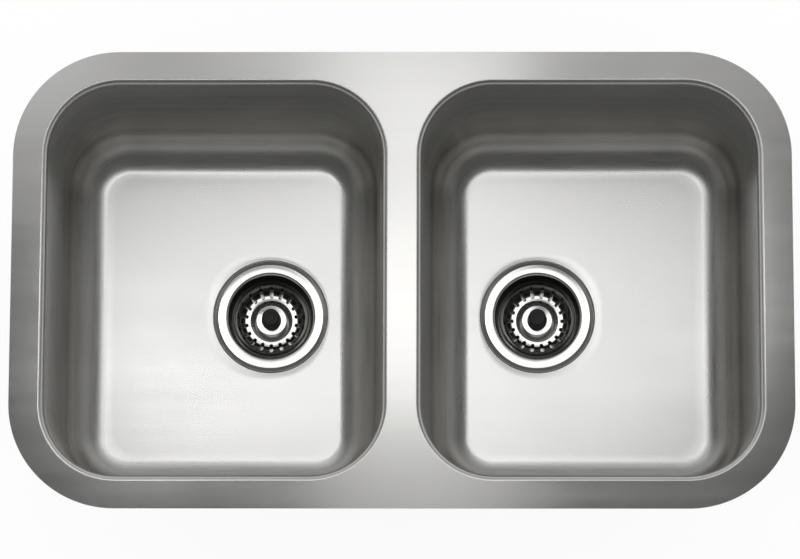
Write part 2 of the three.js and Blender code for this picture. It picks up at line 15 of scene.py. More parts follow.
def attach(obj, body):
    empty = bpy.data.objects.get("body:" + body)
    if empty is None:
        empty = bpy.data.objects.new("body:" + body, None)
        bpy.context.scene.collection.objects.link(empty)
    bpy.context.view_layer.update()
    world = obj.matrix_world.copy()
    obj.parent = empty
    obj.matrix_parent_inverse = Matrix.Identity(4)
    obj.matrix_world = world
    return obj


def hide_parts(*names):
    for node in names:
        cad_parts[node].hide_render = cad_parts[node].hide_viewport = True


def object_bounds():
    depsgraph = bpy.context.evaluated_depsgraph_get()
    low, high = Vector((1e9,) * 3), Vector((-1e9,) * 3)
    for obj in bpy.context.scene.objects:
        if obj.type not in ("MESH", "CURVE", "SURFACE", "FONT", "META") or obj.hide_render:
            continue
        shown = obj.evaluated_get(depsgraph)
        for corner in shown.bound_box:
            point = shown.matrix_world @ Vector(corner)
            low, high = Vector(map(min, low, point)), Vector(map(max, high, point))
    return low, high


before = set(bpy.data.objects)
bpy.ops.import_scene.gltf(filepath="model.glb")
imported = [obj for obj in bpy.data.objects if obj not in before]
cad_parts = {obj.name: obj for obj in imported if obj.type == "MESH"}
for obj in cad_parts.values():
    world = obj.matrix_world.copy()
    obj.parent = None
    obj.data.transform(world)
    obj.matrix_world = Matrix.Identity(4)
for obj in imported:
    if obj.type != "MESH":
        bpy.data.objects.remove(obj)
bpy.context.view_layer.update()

MM = 0.001
# Side, its sign along X, and how far its basket is turned, in degrees.
SIDES = (("left", -1, 0.0), ("right", 1, 10.0))

# ---- sink sheet
SHEET = 1.0  # thickness of the rim and of both bowls
OPENING_X = 340.0
OPENING_Y = 400.0
CORNER_R = 76.0  # of a bowl's opening, seen from above
LIP_R = 5.5  # rolled edge between rim and wall
DRAFT = math.radians(3.0)
BOWL_DEPTH = 200.0  # rim's top to the floor beside the waste
FILLET_R = 38.0  # between wall and floor
FLOOR_FALL = 2.0  # from the floor's farthest corner to the waste
RIM_SIDE = 28.5
RIM_FRONT = 27.5
RIM_BURR = 0.15  # bevel round the rim's outer edge
DIVIDER = 28.0
NECK_DEPTH = 8.0  # rim's top to the weld between neck and bowl
WASTE_OFFSET = 48.0  # waste from the bowl's centre, towards the divider
BOWL_X = (DIVIDER + OPENING_X) / 2
WASTE_X = BOWL_X - WASTE_OFFSET

# ---- sound pad
PAD_THICKNESS = 2.0
PAD_GLUE = 0.3
PAD_SHARES = (0.1, 0.8)  # of the way from the floor's edge to the waste recess

# ---- screws
THREAD_R = 2.9
THREAD_PITCH = 1.0
THREAD_CUT = 0.35
SCREW_HEAD_R = 5.4
SCREW_HEAD_H = 3.0
SCREW_GAP = 0.4  # round the thread or the head, in every hole that takes it
SCREW_TIP = 1.0  # how far a clamping screw comes out of the hub
DRIVER_SLOT = 1.3  # width and depth
BORE_R = THREAD_R + SCREW_GAP

# ---- cup
STACK_GAP = 0.1  # between two flat faces that are clamped together
CUP_SHEET = 1.0
CUP_DEPTH = 36.0
CUP_WALL_R = 36.4
MOUTH_R = 44.0
FLANGE_R = MOUTH_R + 12.8
FLANGE_FLAT_R = FLANGE_R - 3.3  # outside this the flange curves down to the floor
FLANGE_PROUD = 0.25
FLANGE_EDGE_DROP = 1.1
LEDGE_W = 1.8  # the basket's rim stands over this steep ledge
LEDGE_H = 3.0
LEDGE_DEPTH = 9.4
LEDGE_R = CUP_WALL_R + LEDGE_W
DRAIN_HOLES = 6
DRAIN_HOLE_R = 5.0
DRAIN_CIRCLE_R = 20.0
DIMPLE_R = SCREW_HEAD_R + 3.0  # pocket round the clamping screw's head
DIMPLE_FLOOR = -CUP_DEPTH - SCREW_HEAD_H - 1.0
CLAMP_BEARING = DIMPLE_FLOOR + STACK_GAP

# ---- waste hole, seal and gasket
WASTE_HOLE_R = MOUTH_R + CUP_SHEET + 0.5
RECESS_FOOT_R = FLANGE_R + 0.6
RECESS_TOP_R = RECESS_FOOT_R + 0.8
RECESS_DEPTH = 2.0
GASKET_BORE_R = WASTE_HOLE_R + 2.0
GASKET_TOP = -RECESS_DEPTH - SHEET - STACK_GAP
GASKET_BOTTOM = GASKET_TOP - 3.0
SEAL_R = FLANGE_FLAT_R - 1.0
SEAL_TOP = FLANGE_PROUD - CUP_SHEET - STACK_GAP
SEAL_BOTTOM = STACK_GAP - RECESS_DEPTH

# ---- waste body and its insert nut
BODY_TOP = GASKET_BOTTOM - STACK_GAP
BODY_FLANGE_H = 4.0
BELL_WALL = 3.0
BELL_BORE_R = LEDGE_R + CUP_SHEET + 2.3
BELL_R = BELL_BORE_R + BELL_WALL
BELL_FOOT = -CUP_DEPTH - 6.0  # the bell narrows from here to the outlet
OUTLET_R = 23.8
OUTLET_BORE_R = OUTLET_R - 3.8
OUTLET_TOP = BELL_FOOT - 16.0
OUTLET_END = OUTLET_TOP - 28.0
HUB_R = 9.0
HUB_TOP = DIMPLE_FLOOR - CUP_SHEET - STACK_GAP
HUB_BOTTOM = HUB_TOP - 23.0
SPOKES = 4
SPOKE_W = 3.0
SPOKE_H = 9.0
INSERT_FLATS = 10.0
INSERT_BOTTOM = HUB_BOTTOM + 1.0
INSERT_TOP = INSERT_BOTTOM + 5.0
POCKET_TOP = INSERT_TOP + STACK_GAP  # hexagonal pocket for the insert nut
POCKET_FLATS = INSERT_FLATS + 0.6
CLAMP_TIP = HUB_BOTTOM - SCREW_TIP

# ---- outlet nut and its washer
PIPE_GAP = 0.3  # washer's bore beyond the outlet's, and the nut's beyond the washer's
WASHER_TOP = OUTLET_END - STACK_GAP
WASHER_BOTTOM = WASHER_TOP - 3.5
WASHER_BORE_R = OUTLET_BORE_R + PIPE_GAP
NUT_LENGTH = 18.0
NUT_FLOOR_TOP = WASHER_BOTTOM - STACK_GAP
NUT_BOTTOM = NUT_FLOOR_TOP - 2.5
NUT_TOP = NUT_BOTTOM + NUT_LENGTH
NUT_THREAD_R = OUTLET_R + 0.4
NUT_R = NUT_THREAD_R + 4.5
NUT_BORE_R = WASHER_BORE_R + PIPE_GAP
NUT_GRIPS = 8
NUT_GRIP_W = 5.0
NUT_GRIP_H = 1.6

# ---- plug and carrier
PLUG_R = DRAIN_CIRCLE_R + DRAIN_HOLE_R + 1.3  # leaves a strip of the cup's floor in the slots' view
PLUG_CHAMFER = 1.2
PLUG_BOTTOM = 0.3 - CUP_DEPTH
PLUG_TOP = PLUG_BOTTOM + 4.4
CARRIER_R = 24.0
CARRIER_GAP = 0.3  # under the basket
CARRIER_BOTTOM = PLUG_TOP + STACK_GAP
CARRIER_TOP = CARRIER_BOTTOM + 5.0

# ---- basket, knob and screw
BASKET_SHEET = 0.8
BASKET_RIM_LIFT = (BASKET_SHEET + 0.5) / math.hypot(LEDGE_W, LEDGE_H)  # off the cup's ledge
BASKET_RIM_R = LEDGE_R - BASKET_RIM_LIFT * LEDGE_H
BASKET_RIM_TOP = BASKET_RIM_LIFT * LEDGE_W - LEDGE_DEPTH
BASKET_WALL_R = CUP_WALL_R - BASKET_SHEET - 0.8
BASKET_RIM_FOOT = BASKET_RIM_TOP - (BASKET_RIM_R - BASKET_WALL_R) * LEDGE_H / LEDGE_W
BASKET_FLOOR = CARRIER_TOP + CARRIER_GAP + BASKET_SHEET
BASKET_FLOOR_R = 27.0
BASKET_CURVE_H = 11.0  # the wall turns in over this height
BOSS_FOOT_R = 21.5
BOSS_TOP_R = 15.3
BOSS_TOP = BASKET_FLOOR + 4.0
SLOTS = 18
SLOT_W = 3.9
SLOT_INNER_R = 23.8
SLOT_OUTER_R = BASKET_WALL_R - 0.8
KNOB_R = 10.1
KNOB_WAIST_R = 9.3
KNOB_TOP_R = 8.9
KNOB_H = 18.4
KNOB_DISH = 0.5  # hollow in the knob's top
BASKET_SCREW_BEARING = CARRIER_BOTTOM - STACK_GAP
BASKET_SCREW_TIP = BOSS_TOP + KNOB_H / 2

# ---- how fine the meshes are
TURNED_STEPS = 144  # segments round a turned piece
SCREW_STEPS = 72
AXIS_R = 0.01  # a solid turned piece ends this close to its axis
CORNER_STEPS = 20  # in each corner of a bowl ring
SIDE_STEPS = 10  # in each half side of a bowl ring
RING_COUNT = 4 * (CORNER_STEPS + 2 * SIDE_STEPS)
WALL_STEPS = 10
FILLET_STEPS = 24
FLOOR_STEPS = 14
CUT_OVER = 1.0  # a cutting block runs this far past the sheet that it cuts
FLOOR_FINISH_AND_LIGHT_FADE = 16.0  # the floor's finish, and its lighter tone that is painted light, end where the fillet is this steep, in degrees


# ======== meshes
def finish_mesh(name, verts, faces, sharp=35.0):
    """A smooth-shaded object whose edges sharper than an angle stay crisp."""
    mesh = bpy.data.meshes.new(name)
    mesh.from_pydata([Vector(v) * MM for v in verts], [], faces)
    mesh.validate()
    return finish_object(name, mesh, sharp)


def finish_object(name, mesh, sharp=35.0):
    """Links a mesh as a new piece, smooth but for its sharp edges."""
    mesh.shade_smooth()
    mesh.set_sharp_from_angle(angle=math.radians(sharp))
    piece = bpy.data.objects.new(name, mesh)
    bpy.context.scene.collection.objects.link(piece)
    return piece


def steps(count, low, high):
    """Evenly spaced values from low to high, both ends included."""
    return [low + (high - low) * i / count for i in range(count + 1)]


def ring_faces(rows, count):
    """Quads between rows of points, where each row and the loop of rows close on themselves."""
    faces = []
    for r in range(rows):
        a, b = r * count, ((r + 1) % rows) * count
        for i in range(count):
            j = (i + 1) % count
            faces.append((a + i, a + j, b + j, b + i))
    return faces


def loft(name, rings, sharp=35.0):
    """A closed skin through rings, where the last ring joins the first."""
    verts = [p for ring in rings for p in ring]
    return finish_mesh(name, verts, ring_faces(len(rings), len(rings[0])), sharp)


def rounded(points):
    """A polyline of (x, y) or (x, y, radius) points with its corners rounded."""
    flat = [Vector(p[:2]) for p in points]
    line = []
    for i, p in enumerate(flat):
        radius = points[i][2] if len(points[i]) > 2 else 0.0
        if radius == 0.0 or i in (0, len(flat) - 1):
            line.append(p)
            continue
        before = (flat[i - 1] - p).normalized()
        after = (flat[i + 1] - p).normalized()
        half = math.acos(max(-1.0, min(1.0, before.dot(after)))) / 2
        bisector = (before + after).normalized()
        centre = p + bisector * (radius / math.sin(half))
        start = p + before * (radius / math.tan(half)) - centre
        end = p + after * (radius / math.tan(half)) - centre
        turn = start.angle_signed(end)
        count = max(3, math.ceil(abs(turn) / math.radians(9)))
        for a in steps(count, 0.0, turn):
            line.append(centre + Matrix.Rotation(-a, 2) @ start)
    return line


def sheet_outline(surface, thickness):
    """A pressed sheet's closed outline, from its upper or inner surface run inwards and down."""
    line = rounded(surface)
    under = []
    for i, p in enumerate(line):
        after = (line[min(i + 1, len(line) - 1)] - line[min(i, len(line) - 2)]).normalized()
        before = (line[max(i, 1)] - line[max(i - 1, 0)]).normalized()
        mean = (before + after).normalized()
        reach = thickness / max(mean.dot(after), 0.3)
        under.append(p + Vector((-mean.y, mean.x)) * reach)
    return line + under[::-1]


def turned(name, outline, centre_x, sharp=35.0, count=TURNED_STEPS):
    """A closed outline of (radius, height) points turned about a waste's axis."""
    verts = []
    for r, z in outline:
        for i in range(count):
            a = 2 * math.pi * i / count
            verts.append((centre_x + r * math.cos(a), r * math.sin(a), z - BOWL_DEPTH))
    faces = [face[::-1] for face in ring_faces(len(outline), count)]
    return outward(finish_mesh(name, verts, faces, sharp))


def outward(piece, sharp=None):
    """Makes a closed piece's faces point outwards, and can mark its sharp edges again."""
    work = bmesh.new()
    work.from_mesh(piece.data)
    bmesh.ops.remove_doubles(work, verts=work.verts, dist=1e-6)
    bmesh.ops.recalc_face_normals(work, faces=work.faces)
    work.to_mesh(piece.data)
    work.free()
    if sharp is not None:
        piece.data.set_sharp_from_angle(angle=math.radians(sharp))
    return piece


def mark(piece, name, centre_x, value):
    """Stores a number on each point of a turned piece, from its radius and height."""
    stored = piece.data.attributes.new(name, "FLOAT", "POINT")
    for i, vertex in enumerate(piece.data.vertices):
        x, y, z = vertex.co / MM
        stored.data[i].value = value(math.hypot(x - centre_x, y), z + BOWL_DEPTH)
    return piece


def mark_rings(piece, name, values):
    """Stores one number for each ring of a bowl's skin."""
    stored = piece.data.attributes.new(name, "FLOAT", "POINT")
    for r, value in enumerate(values):
        for i in range(r * RING_COUNT, (r + 1) * RING_COUNT):
            stored.data[i].value = value


def between(value, low, high):
    """How far a value is from low to high, kept between 0 and 1."""
    return max(0.0, min(1.0, (value - low) / (high - low)))


# ======== bowl and rim
# The sheet's section from lip to floor. Its points are (inset from the opening, height), and depth
# is how far a point lies below the sheet's inner face.
LIP_END = math.pi / 2 - DRAFT
LIP_END_INSET = LIP_R * math.sin(LIP_END)
LIP_END_Z = LIP_R * math.cos(LIP_END) - LIP_R
FILLET_Z = FLOOR_FALL - BOWL_DEPTH + FILLET_R
FILLET_INSET = LIP_END_INSET + (
    FILLET_R - (FILLET_Z - LIP_END_Z) * math.sin(DRAFT)
) / math.cos(DRAFT)


def lip_point(angle, depth):
    radius = LIP_R - depth
    return radius * math.sin(angle), radius * math.cos(angle) - LIP_R


def wall_point(z, depth):
    inset, start = lip_point(LIP_END, depth)
    return inset + (start - z) * math.tan(DRAFT), z


def fillet_point(angle, depth):
    radius = FILLET_R + depth
    return FILLET_INSET - radius * math.cos(angle), FILLET_Z - radius * math.sin(angle)


def opening_ring(centre_x, section_point):
    """A rounded rectangle at a height, inset from a bowl's opening."""
    inset, z = section_point
    radius = CORNER_R - inset
    half = (OPENING_X / 2 - inset, OPENING_Y / 2 - inset)
    points = []
    for quarter in range(4):
        across, along = half if quarter % 2 == 0 else half[::-1]
        straight = along - radius
        outline = [(across, y) for y in steps(SIDE_STEPS, 0.0, straight)[:-1]]
        for a in steps(CORNER_STEPS, 0.0, math.pi / 2):
            x = across - radius + radius * math.cos(a)
            outline.append((x, straight + radius * math.sin(a)))
        for x in steps(SIDE_STEPS, across - radius, 0.0)[1:-1]:
            outline.append((x, along))
        turn = Matrix.Rotation(quarter * math.pi / 2, 2)
        for p in outline:
            x, y = turn @ Vector(p)
            points.append(Vector((centre_x + x, y, z)))
    return points


def waste_ring(waste_x, radius, z):
    """A round ring with as many points as an opening ring, about a waste's axis."""
    ring = []
    for i in range(RING_COUNT):
        a = 2 * math.pi * i / RING_COUNT
        ring.append(Vector((waste_x + radius * math.cos(a), radius * math.sin(a), z)))
    return ring


def floor_rise(p, waste_x):
    """How far the bowl's floor at a point is above the floor beside the waste."""
    far = math.hypot(OPENING_X / 2 - FILLET_INSET + WASTE_OFFSET, OPENING_Y / 2 - FILLET_INSET)
    away = math.hypot(p.x - waste_x, p.y) - RECESS_TOP_R
    return FLOOR_FALL * max(away, 0.0) / (far - RECESS_TOP_R)


def fall_to_waste(ring, waste_x, share):
    """Lowers a ring so that the floor falls evenly to the waste."""
    return [
        Vector((p.x, p.y, p.z - share * (FLOOR_FALL - floor_rise(p, waste_x)))) for p in ring
    ]


def bowl_skin(centre_x, waste_x, depth):
    """Rings of the bowl's inner face (depth 0) or outer face (depth SHEET), weld to waste hole.

    With them comes how much each ring has the floor's finish and its lighter tone, which is painted
    light, from 0 on the wall to 1.
    """
    foot = fillet_point(DRAFT, depth)[1]
    heights = steps(WALL_STEPS, -NECK_DEPTH, foot)[:-1]
    rings = [opening_ring(centre_x, wall_point(z, depth)) for z in heights]
    finish = [0.0] * len(rings)
    for a in steps(FILLET_STEPS, DRAFT, math.pi / 2):
        share = (a - DRAFT) / (math.pi / 2 - DRAFT)
        ring = opening_ring(centre_x, fillet_point(a, depth))
        rings.append(fall_to_waste(ring, waste_x, share))
        # the floor's lighter tone, painted light, fades out up the fillet, so the fillet's foot is
        # darker where its highlight falls: painted shade
        tilt = math.degrees(math.pi / 2 - a)
        finish.append(max(0.0, 1.0 - tilt / FLOOR_FINISH_AND_LIGHT_FADE))
    edge = rings[-1]
    recess = waste_ring(waste_x, RECESS_TOP_R + 1.5, -BOWL_DEPTH - depth)
    for share in steps(FLOOR_STEPS, 0.0, 1.0)[1:]:
        ring = [p.lerp(q, share) for p, q in zip(edge, recess)]
        rings.append(
            [Vector((p.x, p.y, floor_rise(p, waste_x) - BOWL_DEPTH - depth)) for p in ring]
        )
    profile = rounded(
        [
            (RECESS_TOP_R + 1.4 + depth / 2, 0.0),
            (RECESS_TOP_R + depth / 2, 0.0, 1.2),
            (RECESS_FOOT_R + depth / 2, -RECESS_DEPTH, 1.2),
            (WASTE_HOLE_R, -RECESS_DEPTH),
        ]
    )
    for r, z in profile:
        rings.append(waste_ring(waste_x, r, z - BOWL_DEPTH - depth))
    finish += [1.0] * (len(rings) - len(finish))
    return rings, finish


def make_bowl(side, sign):
    """One drawn bowl. Its floor and its outside each have a finish of their own; the floor's
    lighter tone is painted light.
    """
    centre_x, waste_x = sign * BOWL_X, sign * WASTE_X
    inside, inside_finish_and_light = bowl_skin(centre_x, waste_x, 0.0)
    outside, _ = bowl_skin(centre_x, waste_x, SHEET)
    piece = loft(f"{side}_drawn_bowl", inside + outside[::-1], 40.0)
    # the floor's smoother finish, with a lighter tone that is painted light
    mark_rings(piece, "floor_share", inside_finish_and_light + [0.0] * len(outside))
    mark_rings(piece, "underside", [0.0] * len(inside) + [1.0] * len(outside))
    return outward(piece, 40.0)


def make_rim():
    """The flat rim: both openings roll over into short necks, and the outer edge is deburred."""
    half_x, half_y = DIVIDER / 2 + OPENING_X + RIM_SIDE, OPENING_Y / 2 + RIM_FRONT
    radius = CORNER_R + (RIM_SIDE + RIM_FRONT) / 2
    border = 2.0  # even quads this far round each edge, and triangles between the borders

    def outer(inset, z):
        points = []
        for quarter, (sign_x, sign_y) in enumerate(((1, 1), (-1, 1), (-1, -1), (1, -1))):
            for a in steps(32, quarter * math.pi / 2, (quarter + 1) * math.pi / 2):
                x = sign_x * (half_x - radius) + (radius - inset) * math.cos(a)
                y = sign_y * (half_y - radius) + (radius - inset) * math.sin(a)
                points.append(Vector((x, y, z)))
        return points

    work = bmesh.new()
    rolled = work.verts.layers.float.new("rolled_lip")

    def add(ring, lip=0.0):
        row = [work.verts.new(p * MM) for p in ring]
        for vert in row:
            vert[rolled] = lip
        return row

    def bridge(rows):
        for a, b in zip(rows, rows[1:]):
            for i in range(len(a)):
                j = (i + 1) % len(a)
                work.faces.new((a[i], a[j], b[j], b[i]))

    def edges_of(ring):
        return [work.edges.get((ring[i], ring[(i + 1) % len(ring)])) for i in range(len(ring))]

    def lip_section(depth):
        flat = [(-border, -depth), (-0.6, -depth)]
        lip = [lip_point(a, depth) for a in steps(12, 0.0, LIP_END)]
        return flat + lip + [wall_point(-NECK_DEPTH, depth)]

    edge_section = (
        (border, 0.0),
        (RIM_BURR, 0.0),
        (0.0, -RIM_BURR),
        (0.0, RIM_BURR - SHEET),
        (RIM_BURR, -SHEET),
        (border, -SHEET),
    )
    rows = [add(outer(inset, z)) for inset, z in edge_section]
    bridge(rows)
    top, under = edges_of(rows[0]), edges_of(rows[-1])
    for _, sign, _ in SIDES:
        points = lip_section(0.0) + lip_section(SHEET)[::-1]
        rows = [add(opening_ring(sign * BOWL_X, p), between(p[0], 0.0, 0.8)) for p in points]
        bridge(rows)
        top += edges_of(rows[0])
        under += edges_of(rows[-1])
    for edges in (top, under):
        bmesh.ops.triangle_fill(work, use_beauty=True, use_dissolve=False, edges=edges)
    bmesh.ops.recalc_face_normals(work, faces=work.faces)
    mesh = bpy.data.meshes.new("rim")
    work.to_mesh(mesh)
    work.free()
    return finish_object("rim_sheet", mesh, 40.0)


# ======== what repeats round an axis
GEOMETRY = ("Geometry", "NodeSocketGeometry")
BLOCK_SIZES = ("Inner radius", "Outer radius", "Width", "Corner", "Bottom", "Height", "Axis X")
BLOCK_INPUTS = (
    ("Count", "NodeSocketInt"),
    *((label, "NodeSocketFloat") for label in BLOCK_SIZES),
    ("Turn", "NodeSocketFloat"),
)


def new_tree(kind, name, inputs, outputs):
    """An empty tree of nodes with named inputs and outputs."""
    tree = bpy.data.node_groups.new(name, kind)
    for in_out, sockets in (("INPUT", inputs), ("OUTPUT", outputs)):
        for label, socket in sockets:
            tree.interface.new_socket(label, in_out=in_out, socket_type=socket)
    return tree


class Nodes:
    """Adds nodes to a tree and links them by name."""

    def __init__(self, tree):
        self.tree = tree

    def add(self, kind, inputs=None, **settings):
        node = self.tree.nodes.new(kind)
        for key, value in settings.items():
            setattr(node, key, value)
        for key, value in (inputs or {}).items():
            socket = node.inputs[key]
            for one in value if isinstance(value, list) else [value]:
                if isinstance(one, bpy.types.NodeSocket):
                    self.tree.links.new(one, socket)
                else:
                    socket.default_value = one
        return node

    def maths(self, operation, a, b):
        return self.add("ShaderNodeMath", {0: a, 1: b}, operation=operation).outputs[0]

    def noise(self, place, scale, detail):
        sockets = {"Vector": place, "Scale": scale, "Detail": detail}
        return self.add("ShaderNodeTexNoise", sockets).outputs[0]

    def place(self):
        return self.add("ShaderNodeTexCoord").outputs["Object"]

    def blend(self, share, a, b, kind="FLOAT"):
        """From a to b: a value, or with kind RGBA a colour."""
        mix = self.add("ShaderNodeMix", {"Factor": share, "A": a, "B": b}, data_type=kind)
        return mix.outputs[2 if kind == "RGBA" else 0]

    def spread(self, value, to_min, to_max, from_min=0.0, from_max=1.0):
        sockets = {"Value": value, "From Min": from_min, "From Max": from_max}
        sockets.update({"To Min": to_min, "To Max": to_max})
        return self.add("ShaderNodeMapRange", sockets).outputs[0]


def block_tree():
    """Upright blocks with rounded corners, evenly spaced round an upright axis."""
    tree = new_tree("GeometryNodeTree", "blocks_round_axis", BLOCK_INPUTS, (GEOMETRY,))
    n = Nodes(tree)
    given = n.add("NodeGroupInput").outputs
    maths = n.maths

    length = maths("SUBTRACT", given["Outer radius"], given["Inner radius"])
    middle = maths("MULTIPLY", maths("ADD", given["Outer radius"], given["Inner radius"]), 0.5)
    outline = n.add(
        "GeometryNodeCurvePrimitiveQuadrilateral", {"Width": length, "Height": given["Width"]}
    )
    soft = n.add(
        "GeometryNodeFilletCurve",
        {"Curve": outline.outputs[0], "Radius": given["Corner"], "Count": 6},
        mode="POLY",
    )
    face = n.add("GeometryNodeFillCurve", {0: soft.outputs[0]}, mode="NGONS")
    raised = n.add(
        "GeometryNodeExtrudeMesh",
        {"Mesh": face.outputs[0], "Offset Scale": given["Height"], "Individual": False},
    )
    lid = n.add("GeometryNodeFlipFaces", {0: face.outputs[0]})
    block = n.add("GeometryNodeJoinGeometry", {0: [raised.outputs[0], lid.outputs[0]]})
    welded = n.add("GeometryNodeMergeByDistance", {0: block.outputs[0], "Distance": 1e-6})
    offset = n.add("ShaderNodeCombineXYZ", {"X": middle})
    placed = n.add(
        "GeometryNodeTransform", {"Geometry": welded.outputs[0], "Translation": offset.outputs[0]}
    )
    axis = n.add("ShaderNodeCombineXYZ", {"X": given["Axis X"], "Z": given["Bottom"]})
    points = n.add("GeometryNodePoints", {"Count": given["Count"], "Position": axis.outputs[0]})
    index = n.add("GeometryNodeInputIndex")
    pitch = maths("DIVIDE", 2 * math.pi, given["Count"])
    angle = maths("ADD", maths("MULTIPLY", index.outputs[0], pitch), given["Turn"])
    rotation = n.add("ShaderNodeCombineXYZ", {"Z": angle})
    copies = n.add(
        "GeometryNodeInstanceOnPoints",
        {
            "Points": points.outputs[0],
            "Instance": placed.outputs[0],
            "Rotation": rotation.outputs[0],
        },
    )
    real = n.add("GeometryNodeRealizeInstances", {0: copies.outputs[0]})
    n.add("NodeGroupOutput", {0: real.outputs[0]})
    return tree


BLOCKS = block_tree()


def axis_tree(name, operation):
    """Cuts the blocks out of a piece (DIFFERENCE) or joins them to it (UNION)."""
    inputs = (GEOMETRY, *BLOCK_INPUTS, ("Material", "NodeSocketMaterial"))
    tree = new_tree("GeometryNodeTree", name, inputs, (GEOMETRY,))
    n = Nodes(tree)
    given = n.add("NodeGroupInput").outputs
    blocks = n.add(
        "GeometryNodeGroup", {label: given[label] for label, _ in BLOCK_INPUTS}, node_tree=BLOCKS
    ).outputs[0]
    if operation == "DIFFERENCE":
        operands = {"Mesh 1": given["Geometry"], "Mesh 2": blocks}
    else:
        operands = {"Mesh 2": [given["Geometry"], blocks]}
    shaped = n.add("GeometryNodeMeshBoolean", operands, operation=operation, solver="EXACT")
    real = n.add("GeometryNodeRealizeInstances", {0: shaped.outputs[0]})
    done = n.add(
        "GeometryNodeSetMaterial", {"Geometry": real.outputs[0], "Material": given["Material"]}
    )
    n.add("NodeGroupOutput", {0: done.outputs[0]})
    return tree


CUT_TREE = axis_tree("cut_round_axis", "DIFFERENCE")
ADD_TREE = axis_tree("add_round_axis", "UNION")


def repeat(piece, tree, slot, sharp=35.0, turn=0.0, **sizes):
    """Runs a tree on a piece and keeps the result as its plain mesh. Sizes are in millimetres."""
    sizes["turn"] = turn
    modifier = piece.modifiers.new(tree.name, "NODES")
    modifier.node_group = tree
    for item in tree.interface.items_tree:
        if item.in_out != "INPUT" or item.name == "Geometry":
            continue
        if item.name == "Material":
            modifier[item.identifier] = MATERIALS[slot]
            continue
        value = sizes[item.name.lower().replace(" ", "_")]
        modifier[item.identifier] = value if item.name in ("Count", "Turn") else value * MM
    bpy.context.view_layer.update()
    graph = bpy.context.evaluated_depsgraph_get()
    result = bpy.data.meshes.new_from_object(piece.evaluated_get(graph), depsgraph=graph)
    piece.modifiers.remove(modifier)
    old = piece.data
    piece.data = result
    bpy.data.meshes.remove(old)
    result.shade_smooth()
    result.set_sharp_from_angle(angle=math.radians(sharp))
    return piece


# ======== waste, fixed pieces
def make_cup(side, waste_x):
    """The pressed cup, bright on its flange and satin at its edge and floor. Its mouth is rougher,
    with a dark tone there that is painted shade.
    """
    surface = [
        (FLANGE_R, FLANGE_PROUD - FLANGE_EDGE_DROP),
        (FLANGE_FLAT_R, FLANGE_PROUD, 2.0),
        (MOUTH_R, FLANGE_PROUD, 3.5),
        (LEDGE_R, -LEDGE_DEPTH, 3.0),
        (CUP_WALL_R, -LEDGE_DEPTH - LEDGE_H, 2.0),
        (CUP_WALL_R, -CUP_DEPTH, 3.0),
        (DIMPLE_R + 1.0, -CUP_DEPTH, 0.8),
        (DIMPLE_R, DIMPLE_FLOOR, 0.8),
        (BORE_R, DIMPLE_FLOOR),
    ]
    cup = turned(f"{side}_pressed_cup", sheet_outline(surface, CUP_SHEET), waste_x)
    repeat(
        cup,
        CUT_TREE,
        "polished_steel",
        count=DRAIN_HOLES,
        inner_radius=DRAIN_CIRCLE_R - DRAIN_HOLE_R,
        outer_radius=DRAIN_CIRCLE_R + DRAIN_HOLE_R,
        width=2 * DRAIN_HOLE_R - 0.02,
        corner=DRAIN_HOLE_R - 0.02,
        bottom=-BOWL_DEPTH - CUP_DEPTH - CUP_SHEET - CUT_OVER,
        height=CUP_SHEET + 2 * CUT_OVER,
        axis_x=waste_x,
    )

    # rougher steel down the mouth and wall, with a dark tone that is painted shade
    def dull(radius, height):
        return between(-height, 0.4, 2.5) if radius < MOUTH_R + 3.0 else 0.0

    def satin(radius, height):
        edge = between(radius, FLANGE_FLAT_R, FLANGE_FLAT_R + 1.0)
        return max(edge, between(-height, CUP_DEPTH - 9.0, CUP_DEPTH - 5.0))

    mark(cup, "dull", waste_x, dull)
    return mark(cup, "satin", waste_x, satin)


def soft_ring(name, inner, outer, bottom, top, soft, centre_x):
    """A flat ring with rounded edges."""
    outline = rounded(
        [
            (inner, (bottom + top) / 2),
            (inner, bottom, soft),
            (outer, bottom, soft),
            (outer, top, soft),
            (inner, top, soft),
            (inner, (bottom + top) / 2),
        ]
    )[:-1]
    return turned(name, outline, centre_x, sharp=50.0)


def hexagon_radius(flats, angle):
    """Distance from the axis to a hexagon that has a flat side towards +X."""
    off = (angle + math.pi / 6) % (math.pi / 3) - math.pi / 6
    return flats / 2 / math.cos(off)


def hexagon_loft(name, sections, centre_x, count=144, sharp=25.0):
    """A loop of sections, each (radius or None, across flats, height), turned about an axis."""
    rings = []
    for radius, flats, z in sections:
        ring = []
        for i in range(count):
            a = 2 * math.pi * i / count
            r = hexagon_radius(flats, a) if radius is None else radius
            ring.append((centre_x + r * math.cos(a), r * math.sin(a), z - BOWL_DEPTH))
        rings.append(ring)
    return outward(loft(name, rings, sharp), sharp)


def make_insert_nut(side, waste_x):
    bottom, top = INSERT_BOTTOM, INSERT_TOP
    sections = [
        (None, INSERT_FLATS, bottom + 0.25),
        (None, INSERT_FLATS, top - 0.25),
        (None, INSERT_FLATS - 0.5, top),
        (BORE_R + 0.4, 0.0, top),
        (BORE_R, 0.0, top - 0.4),
        (BORE_R, 0.0, bottom + 0.4),
        (BORE_R + 0.4, 0.0, bottom),
        (None, INSERT_FLATS - 0.5, bottom),
    ]
    return hexagon_loft(f"{side}_brass_insert", sections, waste_x)


